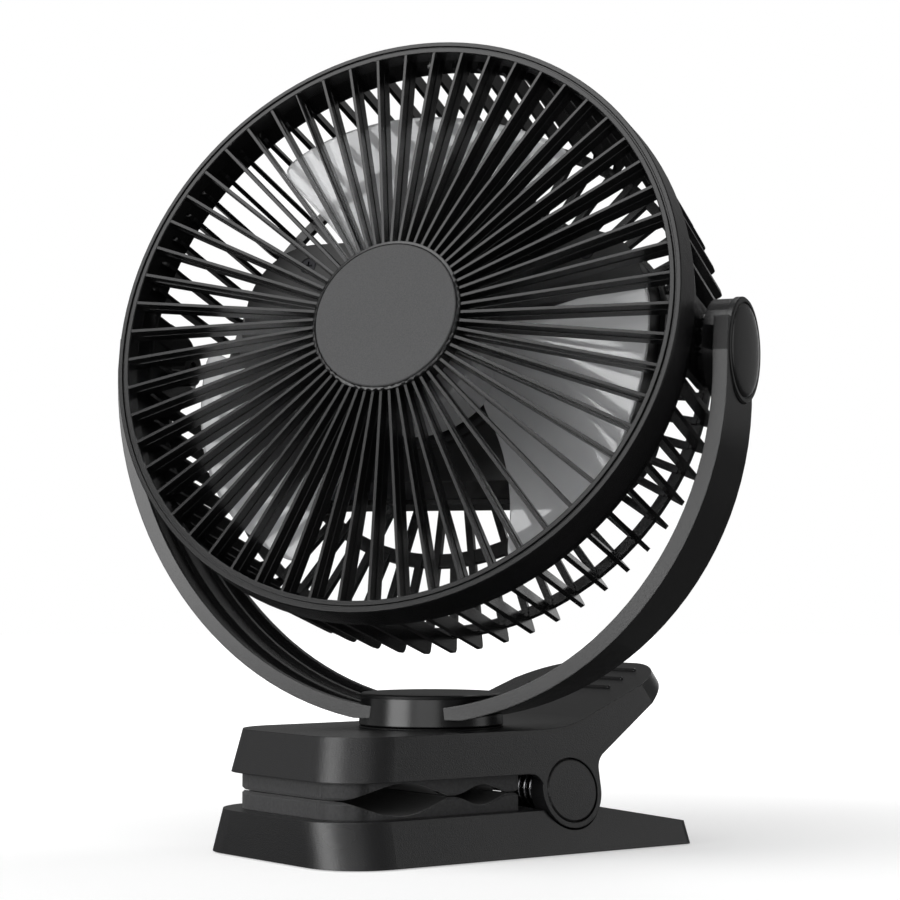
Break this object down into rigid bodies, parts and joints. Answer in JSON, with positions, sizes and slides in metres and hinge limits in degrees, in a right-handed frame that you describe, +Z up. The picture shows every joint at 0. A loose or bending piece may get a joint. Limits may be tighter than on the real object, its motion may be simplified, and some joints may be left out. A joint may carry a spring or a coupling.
{
  "type": "clip-on camping fan",
  "caption": "Round clip-on camping fan: clear-bladed head with radial grille, tilting yoke, swivel, battery case and a spring clip with rubber pole pads.",
  "frame": {"origin": "on the swivel axis at the clip's underside", "axes": "+Z up along the swivel axis, -X the way the clip's jaws open, +Y along the clip's hinge pin"},
  "size_m": [0.1682, 0.2104, 0.272],
  "materials": {
    "clip_plastic": "fine-grained, matt charcoal moulding",
    "grip_rubber": "matt soft rubber",
    "seat_plastic": "smooth satin charcoal",
    "cap_plastic": "smooth satin charcoal",
    "yoke_plastic": "fine-grained, matt charcoal moulding",
    "knob_plastic": "satin charcoal dome with a rim groove",
    "grille_plastic": "matt charcoal moulding",
    "badge_plastic": "flat mid-grey disc",
    "case_plastic": "fine-grained, matt charcoal moulding",
    "button_plastic": "smooth satin key",
    "clear_plastic": "polished, water-clear moulding",
    "light_plastic": "frosted light guide",
    "nut_plastic": "moulded nut",
    "screw_steel": "zinc-plated steel",
    "spring_steel": "drawn spring wire",
    "bearing_steel": "ground bearing steel",
    "motor_steel": "pressed and stacked sheet steel",
    "magnet_ferrite": "sintered ferrite ring",
    "copper_wire": "enamelled copper windings",
    "cell_sleeve": "shrink-sleeved cell",
    "board_laminate": "solder-masked laminate",
    "switch_body": "moulded tact switch"
  },
  "bodies": {
    "base": {"lower_jaw": "clip_plastic", "foot_pad": "grip_rubber", "lower_grip": "grip_rubber", "hinge_pin": "screw_steel", "clip_spring_left": "spring_steel", "clip_spring_right": "spring_steel"},
    "upper_clip": {"upper_jaw": "clip_plastic", "jaw_plate": "clip_plastic", "upper_grip": "grip_rubber", "swivel_seat": "seat_plastic", "pin_cap_left": "cap_plastic", "pin_cap_right": "cap_plastic"},
    "yoke_body": {"yoke": "yoke_plastic", "turntable_cap": "seat_plastic", "swivel_screw": "screw_steel", "swivel_washer": "screw_steel", "knob_left": "knob_plastic", "knob_right": "knob_plastic", "tilt_bolt_left": "screw_steel", "tilt_bolt_right": "screw_steel", "friction_washer_left": "grip_rubber", "friction_washer_right": "grip_rubber"},
    "head": {"front_grille": "grille_plastic", "badge": "badge_plastic", "rear_grille": "grille_plastic", "battery_case": "case_plastic", "rear_cover": "case_plastic", "case_screws": "screw_steel", "cover_screws": "screw_steel", "cell_1": "cell_sleeve", "cell_2": "cell_sleeve", "cell_3": "cell_sleeve", "cell_4": "cell_sleeve", "control_board": "board_laminate", "button_switch": "switch_body", "charge_port": "screw_steel", "light_pipes": "light_plastic", "motor_stator": "motor_steel", "motor_windings": "copper_wire", "bearing_front": "bearing_steel", "bearing_back": "bearing_steel"},
    "impeller_body": {"impeller": "clear_plastic", "rotor_cup": "motor_steel", "rotor_magnet": "magnet_ferrite", "motor_shaft": "screw_steel", "impeller_nut": "nut_plastic"},
    "button": {"speed_button": "button_plastic"}
  },
  "joints": [
    {"name": "clip_hinge", "type": "hinge", "parent": "base", "child": "upper_clip", "pos_m": [0.0281, 0, 0.0207], "axis": [0, 1, 0], "range_deg": [0, 26], "stiffness_Nm_per_rad": 2, "springref_deg": -34.38},
    {"name": "swivel", "type": "hinge", "parent": "upper_clip", "child": "yoke_body", "pos_m": [0, 0, 0.0442], "axis": [0, 0, 1], "continuous": true},
    {"name": "tilt", "type": "hinge", "parent": "yoke_body", "child": "head", "pos_m": [-0.00113, -0.00065, 0.1642], "axis": [-0.497, 0.8678, 0], "range_deg": [-106.8, 73.2]},
    {"name": "impeller_spin", "type": "hinge", "parent": "head", "child": "impeller_body", "pos_m": [-0.00073, -0.00042, 0.16573], "axis": [-0.8307, -0.4758, 0.289], "continuous": true},
    {"name": "speed_button", "type": "slide", "parent": "head", "child": "button", "axis": [-0.8307, -0.4758, 0.289], "range_m": [0, 0.0012], "stiffness_N_per_m": 2000, "springref_m": -0.0005}
  ]
}
